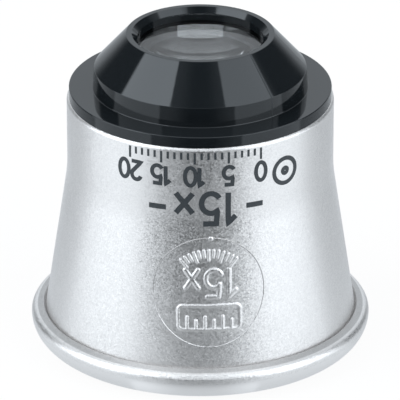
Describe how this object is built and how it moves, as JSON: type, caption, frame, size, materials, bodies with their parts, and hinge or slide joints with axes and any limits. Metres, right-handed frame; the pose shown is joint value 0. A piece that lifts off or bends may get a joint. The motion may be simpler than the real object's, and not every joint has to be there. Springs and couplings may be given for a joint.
{
  "type": "watchmaker loupe",
  "caption": "Stand-alone eye loupe: flared eyecup with rolled rim, screw-in conical lens mount and two lenses held by a threaded ring.",
  "frame": {"origin": "on the optical axis in the plane of the eye rim, on which the loupe stands", "axes": "+Z along the optical axis from the eye rim to the nose; the body is turned about it; -Y is the side with the marking"},
  "size_m": [0.035, 0.035, 0.0335],
  "materials": {
    "silver_paint": "satin silver metallic paint with fine sparkle on moulded plastic",
    "black_gloss": "polished black moulded plastic",
    "black_matt": "matt black, against stray light",
    "lens_glass": "polished glass"
  },
  "bodies": {
    "eyecup": {"housing": "silver_paint"},
    "front_optics": {"front_lens": "lens_glass"},
    "mount": {"lens_mount": "black_gloss"},
    "rear_optics": {"spacer_ring": "black_matt", "rear_lens": "lens_glass"},
    "ring": {"retaining_ring": "black_matt"}
  },
  "joints": [
    {"name": "mount_lift", "type": "slide", "parent": "eyecup", "child": "front_optics", "axis": [0, 0, 1], "range_m": [0, 0.003]},
    {"name": "mount_turn", "type": "hinge", "parent": "front_optics", "child": "mount", "pos_m": [0, 0, 0.0266], "axis": [0, 0, 1], "range_deg": [0, 1080]},
    {"name": "optics_drop", "type": "slide", "parent": "mount", "child": "rear_optics", "axis": [0, 0, -1], "range_m": [0, 0.00225]},
    {"name": "ring_turn", "type": "hinge", "parent": "rear_optics", "child": "ring", "pos_m": [0, 0, 0.0247], "axis": [0, 0, -1], "range_deg": [0, 1080]}
  ],
  "couplings": [
    {"joint": "mount_turn", "follows": "mount_lift", "rad_per_m": 6283.2},
    {"joint": "ring_turn", "follows": "optics_drop", "rad_per_m": 8377.6}
  ]
}
